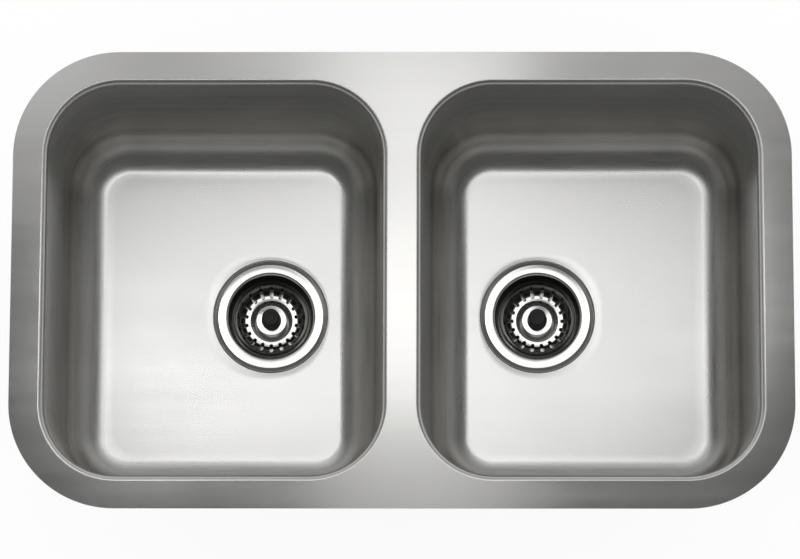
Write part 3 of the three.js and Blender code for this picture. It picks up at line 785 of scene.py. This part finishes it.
def make_waste_body(side, waste_x):
    """The moulded bell and outlet, with a hub on four spokes that holds the insert nut."""
    slant = BELL_WALL / 2  # keeps the wall's thickness where the bell narrows
    start = (OUTLET_BORE_R, OUTLET_TOP - 12.0)  # the outline closes in the outlet's bore
    shell = rounded(
        [
            start,
            (OUTLET_BORE_R, OUTLET_END, 0.5),
            (OUTLET_R, OUTLET_END, 0.8),
            (OUTLET_R, OUTLET_TOP, 2.0),
            (BELL_R, BELL_FOOT, 4.0),
            (BELL_R, BODY_TOP - BODY_FLANGE_H, 1.5),
            (FLANGE_R, BODY_TOP - BODY_FLANGE_H, 0.6),
            (FLANGE_R, BODY_TOP, 0.6),
            (WASTE_HOLE_R, BODY_TOP, 0.4),
            (BELL_BORE_R, BODY_TOP - 2 * BODY_FLANGE_H, 1.0),
            (BELL_BORE_R, BELL_FOOT + slant, 3.0),
            (OUTLET_BORE_R, OUTLET_TOP + slant, 2.0),
            start,
        ]
    )[:-1]
    body = turned(f"{side}_moulded_body", shell, waste_x)
    sections = [
        (HUB_R, 0.0, HUB_BOTTOM + 0.5),
        (HUB_R, 0.0, HUB_TOP - 0.5),
        (HUB_R - 0.5, 0.0, HUB_TOP),
        (BORE_R, 0.0, HUB_TOP),
        (BORE_R, 0.0, POCKET_TOP),
        (None, POCKET_FLATS, POCKET_TOP),
        (None, POCKET_FLATS, HUB_BOTTOM),
        (HUB_R - 0.5, 0.0, HUB_BOTTOM),
    ]
    join_meshes(body, hexagon_loft(f"{side}_hub", sections, waste_x))
    hub_root, wall_root = 1.6, 1.9  # how deep a spoke is let into the hub and into the wall
    return repeat(
        body,
        ADD_TREE,
        "white_plastic",
        sharp=30.0,
        count=SPOKES,
        inner_radius=HUB_R - hub_root,
        outer_radius=OUTLET_BORE_R + wall_root,
        width=SPOKE_W,
        corner=0.6,
        bottom=HUB_BOTTOM - BOWL_DEPTH,
        height=SPOKE_H,
        axis_x=waste_x,
    )


def join_meshes(piece, other):
    """Moves another piece's mesh into this one."""
    work = bmesh.new()
    work.from_mesh(piece.data)
    work.from_mesh(other.data)
    work.to_mesh(piece.data)
    work.free()
    mesh = other.data
    bpy.data.objects.remove(other)
    bpy.data.meshes.remove(mesh)


def make_outlet_nut(side, waste_x):
    """The ribbed nut, with an inward flange at its foot that presses the washer."""
    start = (NUT_BORE_R, NUT_BOTTOM + 1.0)  # the outline closes in the flange's bore
    shell = rounded(
        [
            start,
            (NUT_BORE_R, NUT_BOTTOM, 0.4),
            (NUT_R, NUT_BOTTOM, 1.2),
            (NUT_R, NUT_TOP, 0.8),
            (NUT_THREAD_R, NUT_TOP, 0.6),
            (NUT_THREAD_R, NUT_FLOOR_TOP),
            (NUT_BORE_R, NUT_FLOOR_TOP, 0.4),
            start,
        ]
    )[:-1]
    grip_root, grip_foot, grip_head = 2.9, 1.2, 0.8  # into the nut, and short of its two ends
    return repeat(
        turned(f"{side}_ribbed_nut", shell, waste_x),
        ADD_TREE,
        "white_plastic",
        count=NUT_GRIPS,
        inner_radius=NUT_R - grip_root,
        outer_radius=NUT_R + NUT_GRIP_H,
        width=NUT_GRIP_W,
        corner=1.2,
        bottom=NUT_BOTTOM - BOWL_DEPTH + grip_foot,
        height=NUT_LENGTH - grip_foot - grip_head,
        axis_x=waste_x,
    )


def make_washer(side, waste_x):
    """The sealing washer: a plain ring below its shoulder, a cone above it."""
    shoulder = WASHER_BOTTOM + (WASHER_TOP - WASHER_BOTTOM) * 0.45
    cone_w = 1.75
    outline = rounded(
        [
            (WASHER_BORE_R, shoulder),
            (WASHER_BORE_R, WASHER_BOTTOM, 0.3),
            (OUTLET_R, WASHER_BOTTOM, 0.4),
            (OUTLET_R, shoulder, 0.4),
            (OUTLET_R - cone_w, WASHER_TOP, 0.5),
            (WASHER_BORE_R, WASHER_TOP, 0.3),
            (WASHER_BORE_R, shoulder),
        ]
    )[:-1]
    return turned(f"{side}_moulded_washer", outline, waste_x, sharp=50.0)


def make_screw(name, bearing, tip, centre_x):
    """A screw with a rounded cheese head at its upper or lower end, cut across for the driver."""
    away = math.copysign(1.0, bearing - tip)
    head = bearing + away * SCREW_HEAD_H
    thread = []
    for i in range(int(abs(bearing - tip) / THREAD_PITCH) - 2):
        z = tip + away * THREAD_PITCH * (1 + i)
        thread += [(THREAD_R, z), (THREAD_R - THREAD_CUT, z + away * THREAD_PITCH / 2)]
    outline = rounded(
        [
            (AXIS_R, head),
            (SCREW_HEAD_R, head, 1.4),
            (SCREW_HEAD_R, bearing, 0.3),
            (THREAD_R, bearing),
            *thread[::-1],
            (THREAD_R - 0.6, tip),
            (AXIS_R, tip),
        ]
    )
    over = 0.5  # the slot's block runs this far past the head
    low = head - DRIVER_SLOT if away > 0 else head - over
    return repeat(
        turned(name, outline, centre_x, sharp=40.0, count=SCREW_STEPS),
        CUT_TREE,
        "screw_steel",
        count=1,
        inner_radius=-SCREW_HEAD_R - CUT_OVER,
        outer_radius=SCREW_HEAD_R + CUT_OVER,
        width=DRIVER_SLOT,
        corner=0.05,
        bottom=low - BOWL_DEPTH,
        height=DRIVER_SLOT + over,
        axis_x=centre_x,
        turn=0.43,
    )


def make_pad(side, sign):
    """The pad follows the floor's slope, a glue line below it."""
    centre_x, waste_x = sign * BOWL_X, sign * WASTE_X
    edge = opening_ring(centre_x, fillet_point(math.pi / 2, SHEET))
    recess = waste_ring(waste_x, RECESS_TOP_R, 0.0)
    top = -BOWL_DEPTH - SHEET - PAD_GLUE

    def ring(share, depth):
        points = [p.lerp(q, share) for p, q in zip(edge, recess)]
        return [Vector((p.x, p.y, floor_rise(p, waste_x) + top - depth)) for p in points]

    shares = steps(8, *PAD_SHARES)
    rings = [ring(share, 0.0) for share in shares]
    rings += [ring(share, PAD_THICKNESS) for share in shares[::-1]]
    return outward(loft(f"{side}_damping_sheet", rings, 40.0), 40.0)


# ======== basket
def make_basket(side, waste_x, turn):
    """The pressed basket. Its slots run from the flat floor up into the wall's curve."""
    reach = BASKET_WALL_R - BASKET_FLOOR_R
    surface = [
        (BASKET_RIM_R, BASKET_RIM_TOP),
        (BASKET_WALL_R, BASKET_RIM_FOOT, 2.0),
        (BASKET_WALL_R, BASKET_FLOOR + BASKET_CURVE_H, 5.0),
        (BASKET_FLOOR_R + reach * 0.6, BASKET_FLOOR + BASKET_CURVE_H * 0.3, 4.0),
        (BASKET_FLOOR_R, BASKET_FLOOR, 3.0),
        (BOSS_FOOT_R, BASKET_FLOOR, 1.2),
        (BOSS_TOP_R, BOSS_TOP, 1.2),
        (BORE_R, BOSS_TOP),
    ]
    basket = turned(f"{side}_slotted_basket", sheet_outline(surface, BASKET_SHEET), waste_x)
    repeat(
        basket,
        CUT_TREE,
        "polished_steel",
        count=SLOTS,
        inner_radius=SLOT_INNER_R,
        outer_radius=SLOT_OUTER_R,
        width=SLOT_W,
        corner=SLOT_W * 0.499,
        bottom=BASKET_FLOOR - BOWL_DEPTH - BASKET_SHEET - CUT_OVER,
        height=BASKET_CURVE_H + BASKET_SHEET + 2 * CUT_OVER,
        axis_x=waste_x,
        turn=math.pi / SLOTS + math.radians(turn),
    )

    # rougher steel on the wall and rim, with a dark tone that is painted shade
    def dull(radius, height):
        return between(radius, BASKET_FLOOR_R, BASKET_FLOOR_R + 2.0)

    return mark(basket, "dull", waste_x, dull)


def make_knob(side, waste_x):
    """The knob: a foot, a waist, and a top with a shallow dish, over a blind bore for the screw."""
    bottom = BOSS_TOP + STACK_GAP
    top = bottom + KNOB_H
    bore_end = bottom + 10.0
    outline = rounded(
        [
            (BORE_R, bottom),
            (KNOB_R, bottom, 0.4),
            (KNOB_R, bottom + 2.0, 0.6),
            (KNOB_WAIST_R, bottom + 6.0, 4.0),
            (KNOB_TOP_R, top, 1.8),
            (6.0, top, 3.0),
            (2.5, top - KNOB_DISH, 2.0),
            (AXIS_R, top - KNOB_DISH),
            (AXIS_R, bore_end),
            (BORE_R, bore_end),
            (BORE_R, bottom),
        ]
    )[:-1]
    return turned(f"{side}_turned_knob", outline, waste_x)


def make_carrier(side, waste_x):
    """The disc under the basket. Its middle fills the hollow of the basket's boss."""
    spigot_top = BOSS_TOP - BASKET_SHEET - CARRIER_GAP
    outline = rounded(
        [
            (BORE_R, CARRIER_BOTTOM),
            (CARRIER_R, CARRIER_BOTTOM, 0.4),
            (CARRIER_R, CARRIER_TOP, 0.6),
            (BOSS_FOOT_R - 2 * BASKET_SHEET, CARRIER_TOP, 0.6),
            (BOSS_TOP_R - 2 * BASKET_SHEET, spigot_top, 0.6),
            (BORE_R, spigot_top),
            (BORE_R, CARRIER_BOTTOM),
        ]
    )[:-1]
    return turned(f"{side}_moulded_carrier", outline, waste_x)


def make_plug(side, waste_x):
    """The rubber plug over the drain holes, chamfered above and below."""
    bore = SCREW_HEAD_R + SCREW_GAP
    outline = rounded(
        [
            (bore, PLUG_BOTTOM),
            (PLUG_R - PLUG_CHAMFER, PLUG_BOTTOM, 0.5),
            (PLUG_R, PLUG_BOTTOM + PLUG_CHAMFER, 0.6),
            (PLUG_R, PLUG_TOP - PLUG_CHAMFER, 0.6),
            (PLUG_R - PLUG_CHAMFER, PLUG_TOP, 0.5),
            (bore, PLUG_TOP),
            (bore, PLUG_BOTTOM),
        ]
    )[:-1]
    return turned(f"{side}_rubber_plug", outline, waste_x, sharp=50.0)


# ======== materials
FLOAT, VECTOR, COLOUR = "NodeSocketFloat", "NodeSocketVector", "NodeSocketColor"
MATERIALS = {}  # by the name of the slot that their pieces take


def brush_group():
    """Satin finish of steel: fine brush lines over belt marks and soft clouds."""
    inputs = (
        ("Lines", VECTOR),
        ("Place", VECTOR),
        ("Roughness", FLOAT),
        ("Line roughness", FLOAT),
        ("Cloud roughness", FLOAT),
        ("Line tone", FLOAT),
    )
    outputs = (("Roughness", FLOAT), ("Height", FLOAT), ("Tone", FLOAT))
    tree = new_tree("ShaderNodeTree", "satin_brush", inputs, outputs)
    n = Nodes(tree)
    given = n.add("NodeGroupInput").outputs
    maths = n.maths

    fine = n.noise(given["Lines"], 1.0, 3.0)
    belts = n.noise(given["Lines"], 0.045, 2.0)
    clouds = n.noise(given["Place"], 9.0, 4.0)
    lines = maths("ADD", maths("MULTIPLY", fine, 0.5), maths("MULTIPLY", belts, 0.5))
    line_part = maths("MULTIPLY", maths("SUBTRACT", lines, 0.5), given["Line roughness"])
    cloud_part = maths("MULTIPLY", maths("SUBTRACT", clouds, 0.5), given["Cloud roughness"])
    rough = maths("ADD", maths("ADD", given["Roughness"], line_part), cloud_part)
    tone = maths("MULTIPLY", maths("SUBTRACT", lines, 0.5), given["Line tone"])
    tone = maths("ADD", maths("ADD", tone, 0.5), maths("SUBTRACT", clouds, 0.5))
    n.add("NodeGroupOutput", {"Roughness": rough, "Height": fine, "Tone": tone})
    return tree


BRUSH = brush_group()


def new_material(name):
    material = MATERIALS[name] = bpy.data.materials.new(name)
    material.use_nodes = True
    material.node_tree.nodes.clear()
    return material, Nodes(material.node_tree)


def close_material(n, sockets, height, bump):
    """Gives a material its surface, with bumps from a height over the surface."""
    normal = n.add("ShaderNodeBump", {"Height": height, "Strength": bump, "Distance": 0.0002})
    bsdf = n.add("ShaderNodeBsdfPrincipled", {**sockets, "Normal": normal.outputs[0]})
    n.add("ShaderNodeOutputMaterial", {"Surface": bsdf.outputs[0]})


def satin_steel(name, dark, light, roughness, lines, bump, masked=()):
    """Satin or polished steel, or brass.

    lines holds the stretch of the brush lines, how much lines and clouds change the roughness, and
    how much the lines change the tone. masked holds (attribute, dark, light, roughness, lines) for
    where a mesh attribute is 1.
    """
    _, n = new_material(name)

    def finish(dark, light, roughness, lines):
        stretch, line_rough, cloud_rough, line_tone = lines
        place = n.place()
        stretched = n.add("ShaderNodeMapping", {"Vector": place, "Scale": stretch})
        brush = n.add(
            "ShaderNodeGroup",
            {
                "Lines": stretched.outputs[0],
                "Place": place,
                "Roughness": roughness,
                "Line roughness": line_rough,
                "Cloud roughness": cloud_rough,
                "Line tone": line_tone,
            },
            node_tree=BRUSH,
        ).outputs
        colour = n.blend(brush["Tone"], (*dark, 1.0), (*light, 1.0), "RGBA")
        return colour, brush["Roughness"], brush["Height"]

    colour, rough, height = finish(dark, light, roughness, lines)
    for attribute, *values in masked:
        share = n.add("ShaderNodeAttribute", attribute_name=attribute).outputs["Fac"]
        other = finish(*values)
        colour = n.blend(share, colour, other[0], "RGBA")
        rough = n.blend(share, rough, other[1])
        height = n.blend(share, height, other[2])
    close_material(n, {"Base Color": colour, "Metallic": 1.0, "Roughness": rough}, height, bump)


def dress(piece, body, slot, node):
    """Gives a piece the material of its slot and its body, and hides the solid that it stands for.
    """
    piece.data.materials.clear()
    piece.data.materials.append(MATERIALS[slot])
    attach(piece, body)
    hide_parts(node)


satin_steel(
    "rim_steel",
    (0.60, 0.595, 0.58),
    (0.70, 0.695, 0.68),
    0.15,
    ((25.0, 1400.0, 1400.0), 0.1, 0.04, 1.0),
    0.02,
    masked=[
        (
            "rolled_lip",
            (0.58, 0.575, 0.555),
            (0.74, 0.735, 0.715),
            0.34,
            ((25.0, 25.0, 1200.0), 0.2, 0.06, 1.2),
        )
    ],
)
satin_steel(
    "bowl_steel",
    (0.55, 0.545, 0.52),
    (0.83, 0.825, 0.8),
    0.33,
    ((25.0, 25.0, 1200.0), 0.4, 0.06, 2.2),
    0.012,
    masked=[
        # floor: smoother steel, with a lighter tone that is painted light on the up-facing floor;
        # its fade up the fillet is painted shade over the fillet's highlight
        (
            "floor_share",
            (0.79, 0.785, 0.775),
            (0.86, 0.855, 0.845),
            0.22,
            ((40.0, 900.0, 40.0), 0.08, 0.06, 0.8),
        ),
        (
            "underside",
            (0.5, 0.5, 0.49),
            (0.62, 0.62, 0.605),
            0.42,
            ((30.0, 30.0, 260.0), 0.12, 0.12, 0.7),
        ),
    ],
)
satin_steel(
    "polished_steel",
    (0.84, 0.835, 0.82),
    (0.9, 0.895, 0.88),
    0.1,
    ((500.0, 500.0, 500.0), 0.05, 0.04, 0.6),
    0.02,
    masked=[
        # cup's mouth and basket's wall: rougher steel, with a dark tone of 0.26-0.36 that is
        # painted shade
        (
            "dull",
            (0.26, 0.255, 0.24),
            (0.36, 0.355, 0.34),
            0.2,
            ((60.0, 60.0, 1500.0), 0.15, 0.05, 1.2),
        ),
        (
            "satin",
            (0.76, 0.755, 0.74),
            (0.86, 0.855, 0.84),
            0.26,
            ((90.0, 90.0, 90.0), 0.1, 0.05, 1.0),
        ),
    ],
)


def mould_group():
    """Moulded surface: a fine grain, and clouds that change colour and roughness a little."""
    inputs = (
        ("Place", VECTOR),
        ("Grain scale", FLOAT),
        ("Dark", COLOUR),
        ("Light", COLOUR),
        ("Smoothest", FLOAT),
        ("Roughest", FLOAT),
    )
    outputs = (("Colour", COLOUR), ("Roughness", FLOAT), ("Height", FLOAT))
    tree = new_tree("ShaderNodeTree", "mould_grain", inputs, outputs)
    n = Nodes(tree)
    given = n.add("NodeGroupInput").outputs

    cloud = n.noise(given["Place"], 60.0, 3.0)
    colour = n.blend(cloud, given["Dark"], given["Light"], "RGBA")
    rough = n.spread(cloud, given["Smoothest"], given["Roughest"])
    grain = n.noise(given["Place"], given["Grain scale"], 4.0)
    n.add("NodeGroupOutput", {"Colour": colour, "Roughness": rough, "Height": grain})
    return tree


MOULD = mould_group()


def plain_material(name, dark, light, roughness, spread, scale, bump):
    """Moulded plastic or rubber with a fine mould texture."""
    _, n = new_material(name)
    mould = n.add(
        "ShaderNodeGroup",
        {
            "Place": n.place(),
            "Grain scale": scale,
            "Dark": (*dark, 1.0),
            "Light": (*light, 1.0),
            "Smoothest": roughness - spread,
            "Roughest": roughness + spread,
        },
        node_tree=MOULD,
    ).outputs
    look = {"Base Color": mould["Colour"], "Roughness": mould["Roughness"]}
    close_material(n, look, mould["Height"], bump)


satin_steel(
    "screw_steel",
    (0.52, 0.525, 0.53),
    (0.64, 0.645, 0.65),
    0.28,
    ((900.0, 900.0, 90.0), 0.1, 0.1, 0.8),
    0.05,
)
satin_steel(
    "brass",
    (0.62, 0.46, 0.19),
    (0.78, 0.6, 0.28),
    0.3,
    ((900.0, 900.0, 120.0), 0.1, 0.1, 0.8),
    0.05,
)
for look in (
    ("black_plastic", (0.01, 0.01, 0.011), (0.018, 0.018, 0.019), 0.42, 0.06, 900.0, 0.08),
    ("black_rubber", (0.016, 0.016, 0.016), (0.03, 0.03, 0.03), 0.7, 0.1, 1500.0, 0.2),
    ("grey_rubber", (0.08, 0.08, 0.08), (0.12, 0.12, 0.12), 0.8, 0.08, 2200.0, 0.4),
    ("white_plastic", (0.74, 0.74, 0.72), (0.8, 0.8, 0.78), 0.42, 0.06, 700.0, 0.06),
    ("damping_pad", (0.03, 0.03, 0.033), (0.06, 0.06, 0.064), 0.85, 0.08, 500.0, 0.6),
):
    plain_material(*look)

# ======== the sink
def dress_side(side, sign, turn):
    """Makes all the pieces of one bowl and its waste."""
    x = sign * WASTE_X
    gasket = (f"{side}_rubber_gasket", GASKET_BORE_R, FLANGE_R, GASKET_BOTTOM, GASKET_TOP, 0.4, x)
    seal = (f"{side}_foam_seal", GASKET_BORE_R, SEAL_R, SEAL_BOTTOM, SEAL_TOP, 0.3, x)
    clamp = (f"{side}_waste_screw", CLAMP_BEARING, CLAMP_TIP, x)
    knob = (f"{side}_knob_screw", BASKET_SCREW_BEARING, BASKET_SCREW_TIP, x)
    fixed = (
        (make_bowl(side, sign), "bowl_steel", "bowl"),
        (make_pad(side, sign), "damping_pad", "sound_pad"),
        (make_cup(side, x), "polished_steel", "strainer_cup"),
        (soft_ring(*seal), "grey_rubber", "flange_seal"),
        (soft_ring(*gasket), "black_rubber", "lower_gasket"),
        (make_waste_body(side, x), "white_plastic", "waste_body"),
        (make_insert_nut(side, x), "brass", "insert_nut"),
        (make_screw(*clamp), "screw_steel", "clamp_screw"),
        (make_outlet_nut(side, x), "white_plastic", "outlet_nut"),
        (make_washer(side, x), "black_rubber", "cone_washer"),
    )
    lifted = (
        (make_basket(side, x, turn), "polished_steel", "basket"),
        (make_knob(side, x), "black_plastic", "basket_knob"),
        (make_carrier(side, x), "black_plastic", "plug_carrier"),
        (make_plug(side, x), "black_rubber", "plug_seal"),
        (make_screw(*knob), "screw_steel", "basket_screw"),
    )
    for body, pieces in (("sink", fixed), (f"{side}_basket", lifted)):
        for piece, slot, node in pieces:
            dress(piece, body, slot, f"{side}_{node}")


dress(make_rim(), "sink", "rim_steel", "rim_plate")
for side, sign, turn in SIDES:
    dress_side(side, sign, turn)

# ======== stage, light and camera
FLOOR_SIZE = 40.0
FLOOR_TONE = 0.12  # how much of the lamps' light the floor gives back, and so how deep shadows are
BACKGROUND = 0.88  # how bright the white surroundings look before the lamps add to them
CEILING = 0.1  # how bright the studio is overhead, between the lamps
CAMERA_LENS = 206.8
CAMERA_EYE = (0.052, -0.886, 4.4)
CAMERA_AIM = (-0.0017, -0.0016, 0.0)


def make_floor():
    """A white floor for the camera and for reflections, which keeps the object's soft shadow."""
    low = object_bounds()[0].z
    mesh = bpy.data.meshes.new("floor")
    half = FLOOR_SIZE / 2
    mesh.from_pydata(
        [(-half, -half, low), (half, -half, low), (half, half, low), (-half, half, low)],
        [],
        [(0, 1, 2, 3)],
    )
    floor = bpy.data.objects.new("floor", mesh)
    bpy.context.scene.collection.objects.link(floor)
    material, n = new_material("floor_white")
    path = n.add("ShaderNodeLightPath").outputs
    seen = n.maths("MAXIMUM", path["Is Camera Ray"], path["Is Glossy Ray"])
    seen = n.maths("MAXIMUM", seen, path["Is Transmission Ray"])
    seen = n.maths("MAXIMUM", seen, path["Is Diffuse Ray"])
    shade = n.add("ShaderNodeBsdfDiffuse", {"Color": (FLOOR_TONE, FLOOR_TONE, FLOOR_TONE, 1.0)})
    light = n.add("ShaderNodeEmission", {"Strength": n.maths("MULTIPLY", seen, BACKGROUND)})
    both = n.add("ShaderNodeAddShader", {0: shade.outputs[0], 1: light.outputs[0]})
    clear = n.add("ShaderNodeBsdfTransparent")
    back = n.add("ShaderNodeNewGeometry").outputs["Backfacing"]
    mix = n.add("ShaderNodeMixShader", {0: back, 1: both.outputs[0], 2: clear.outputs[0]})
    n.add("ShaderNodeOutputMaterial", {"Surface": mix.outputs[0]})
    mesh.materials.append(material)


def make_world():
    """White for the camera and for matt surfaces. Metal sees it white low down, dim overhead."""
    world = bpy.data.worlds.new("studio")
    world.cycles.sampling_method = "NONE"  # so that each kind of ray gets its own brightness
    bpy.context.scene.world = world
    world.use_nodes = True
    world.node_tree.nodes.clear()
    n = Nodes(world.node_tree)
    path = n.add("ShaderNodeLightPath").outputs
    direction = n.add("ShaderNodeTexCoord").outputs["Generated"]
    across = n.add("ShaderNodeSeparateXYZ", {0: direction}).outputs

    def by_side(front, back):
        return n.spread(across["Y"], front, back, -0.7, 0.7)

    fade_start = by_side(0.02, 0.15)  # heights, from 0 at the horizon to 1 overhead
    fade_end = by_side(0.5, 0.93)
    white = by_side(0.75, 0.9)
    strength = n.spread(across["Z"], white, CEILING, fade_start, fade_end)
    matt = n.maths("MAXIMUM", path["Is Camera Ray"], path["Is Diffuse Ray"])
    seen = n.add("ShaderNodeBackground", {"Color": (1.0, 1.0, 1.0, 1.0), "Strength": 1.0})
    dim = n.add("ShaderNodeBackground", {"Color": (1.0, 1.0, 1.0, 1.0), "Strength": strength})
    mix = n.add("ShaderNodeMixShader", {0: matt, 1: dim.outputs[0], 2: seen.outputs[0]})
    n.add("ShaderNodeOutputWorld", {"Surface": mix.outputs[0]})


def facing(eye, target):
    """Turns a camera or lamp at a place towards a target, with its own X level along world X."""
    back = (Vector(eye) - Vector(target)).normalized()
    right = (Vector((1.0, 0.0, 0.0)) - back * back.x).normalized()
    turn = Matrix((right, back.cross(right), back)).transposed()
    return Matrix.Translation(eye) @ turn.to_4x4()


def softbox(name, eye, target, size, brightness):
    """A rectangular lamp. Brightness 1 is as bright as white paper in plain light."""
    lamp = bpy.data.lights.new(name, "AREA")
    lamp.shape = "RECTANGLE"
    lamp.size, lamp.size_y = size
    lamp.energy = brightness * math.pi * size[0] * size[1]
    holder = bpy.data.objects.new(name, lamp)
    holder.matrix_world = facing(eye, target)
    holder.visible_camera = False
    bpy.context.scene.collection.objects.link(holder)


def make_camera():
    """The photograph's view: from above and a little in front, with the rim's long edges level."""
    camera = bpy.data.cameras.new("camera")
    camera.sensor_width = 36.0
    camera.lens = CAMERA_LENS
    camera.clip_end = 100.0
    holder = bpy.data.objects.new("camera", camera)
    holder.matrix_world = facing(CAMERA_EYE, CAMERA_AIM)
    bpy.context.scene.collection.objects.link(holder)
    bpy.context.scene.camera = holder


# Name, place along X and Y, height, width, depth and brightness of a bank of soft boxes overhead.
# The middle is brightest, and the boxes at its ends reach the far sides of the bowl floors.
LAMPS = (
    ("over_bowls", 0.0, 0.3525, 2.0, 0.9, 0.305, 1.05),
    ("over_divider", 0.0, 0.4, 2.01, 0.3, 0.8, 0.6),
    ("left_end", -0.385, 0.33, 2.02, 0.13, 0.3, 1.9),
    ("right_end", 0.385, 0.46, 2.02, 0.13, 0.3, 1.0),
    ("middle", 0.0, 0.59, 2.03, 0.2, 0.14, 0.55),
    ("over_back", -0.08, 0.72, 2.04, 0.5, 0.3, 0.22),
    ("behind", 0.0, 1.075, 2.05, 1.9, 0.85, 0.4),
    ("behind_left", -0.7, 1.0, 2.06, 0.5, 1.0, 0.3),
)
make_floor()
make_world()
for name, x, y, height, width, depth, brightness in LAMPS:
    softbox(name, (x, y, height), (x, y, 0.0), (width, depth), brightness)
make_camera()
bpy.context.scene.view_settings.view_transform = "Standard"
